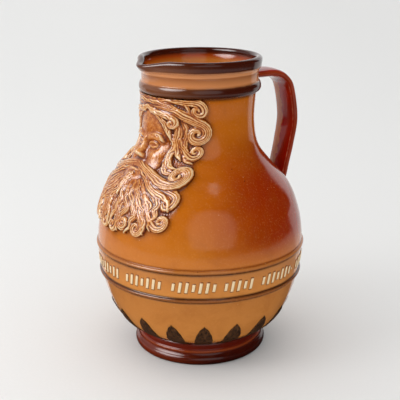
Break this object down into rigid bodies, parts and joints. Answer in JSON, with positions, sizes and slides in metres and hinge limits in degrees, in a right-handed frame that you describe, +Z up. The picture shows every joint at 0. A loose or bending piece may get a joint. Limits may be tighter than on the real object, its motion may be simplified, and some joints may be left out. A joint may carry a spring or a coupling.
{
  "type": "stoneware jug",
  "caption": "Bellied salt-glazed stoneware jug with a short neck, small pulled spout, strap handle, bearded mask in relief, ribs round the belly and applied leaves above the foot.",
  "frame": {"origin": "centre of the underside, where the foot stands", "axes": "+Z up along the jug's axis, -Y towards the spout and the mask, +Y towards the handle"},
  "size_m": [0.152, 0.1568, 0.215],
  "materials": {
    "amber_glaze": "glossy",
    "relief_glaze": "glossy",
    "handle_glaze": "glossy",
    "leaf_slip": "satin",
    "cream_slip": "glossy"
  },
  "bodies": {
    "root": {"jug": "amber_glaze"}
  },
  "joints": []
}
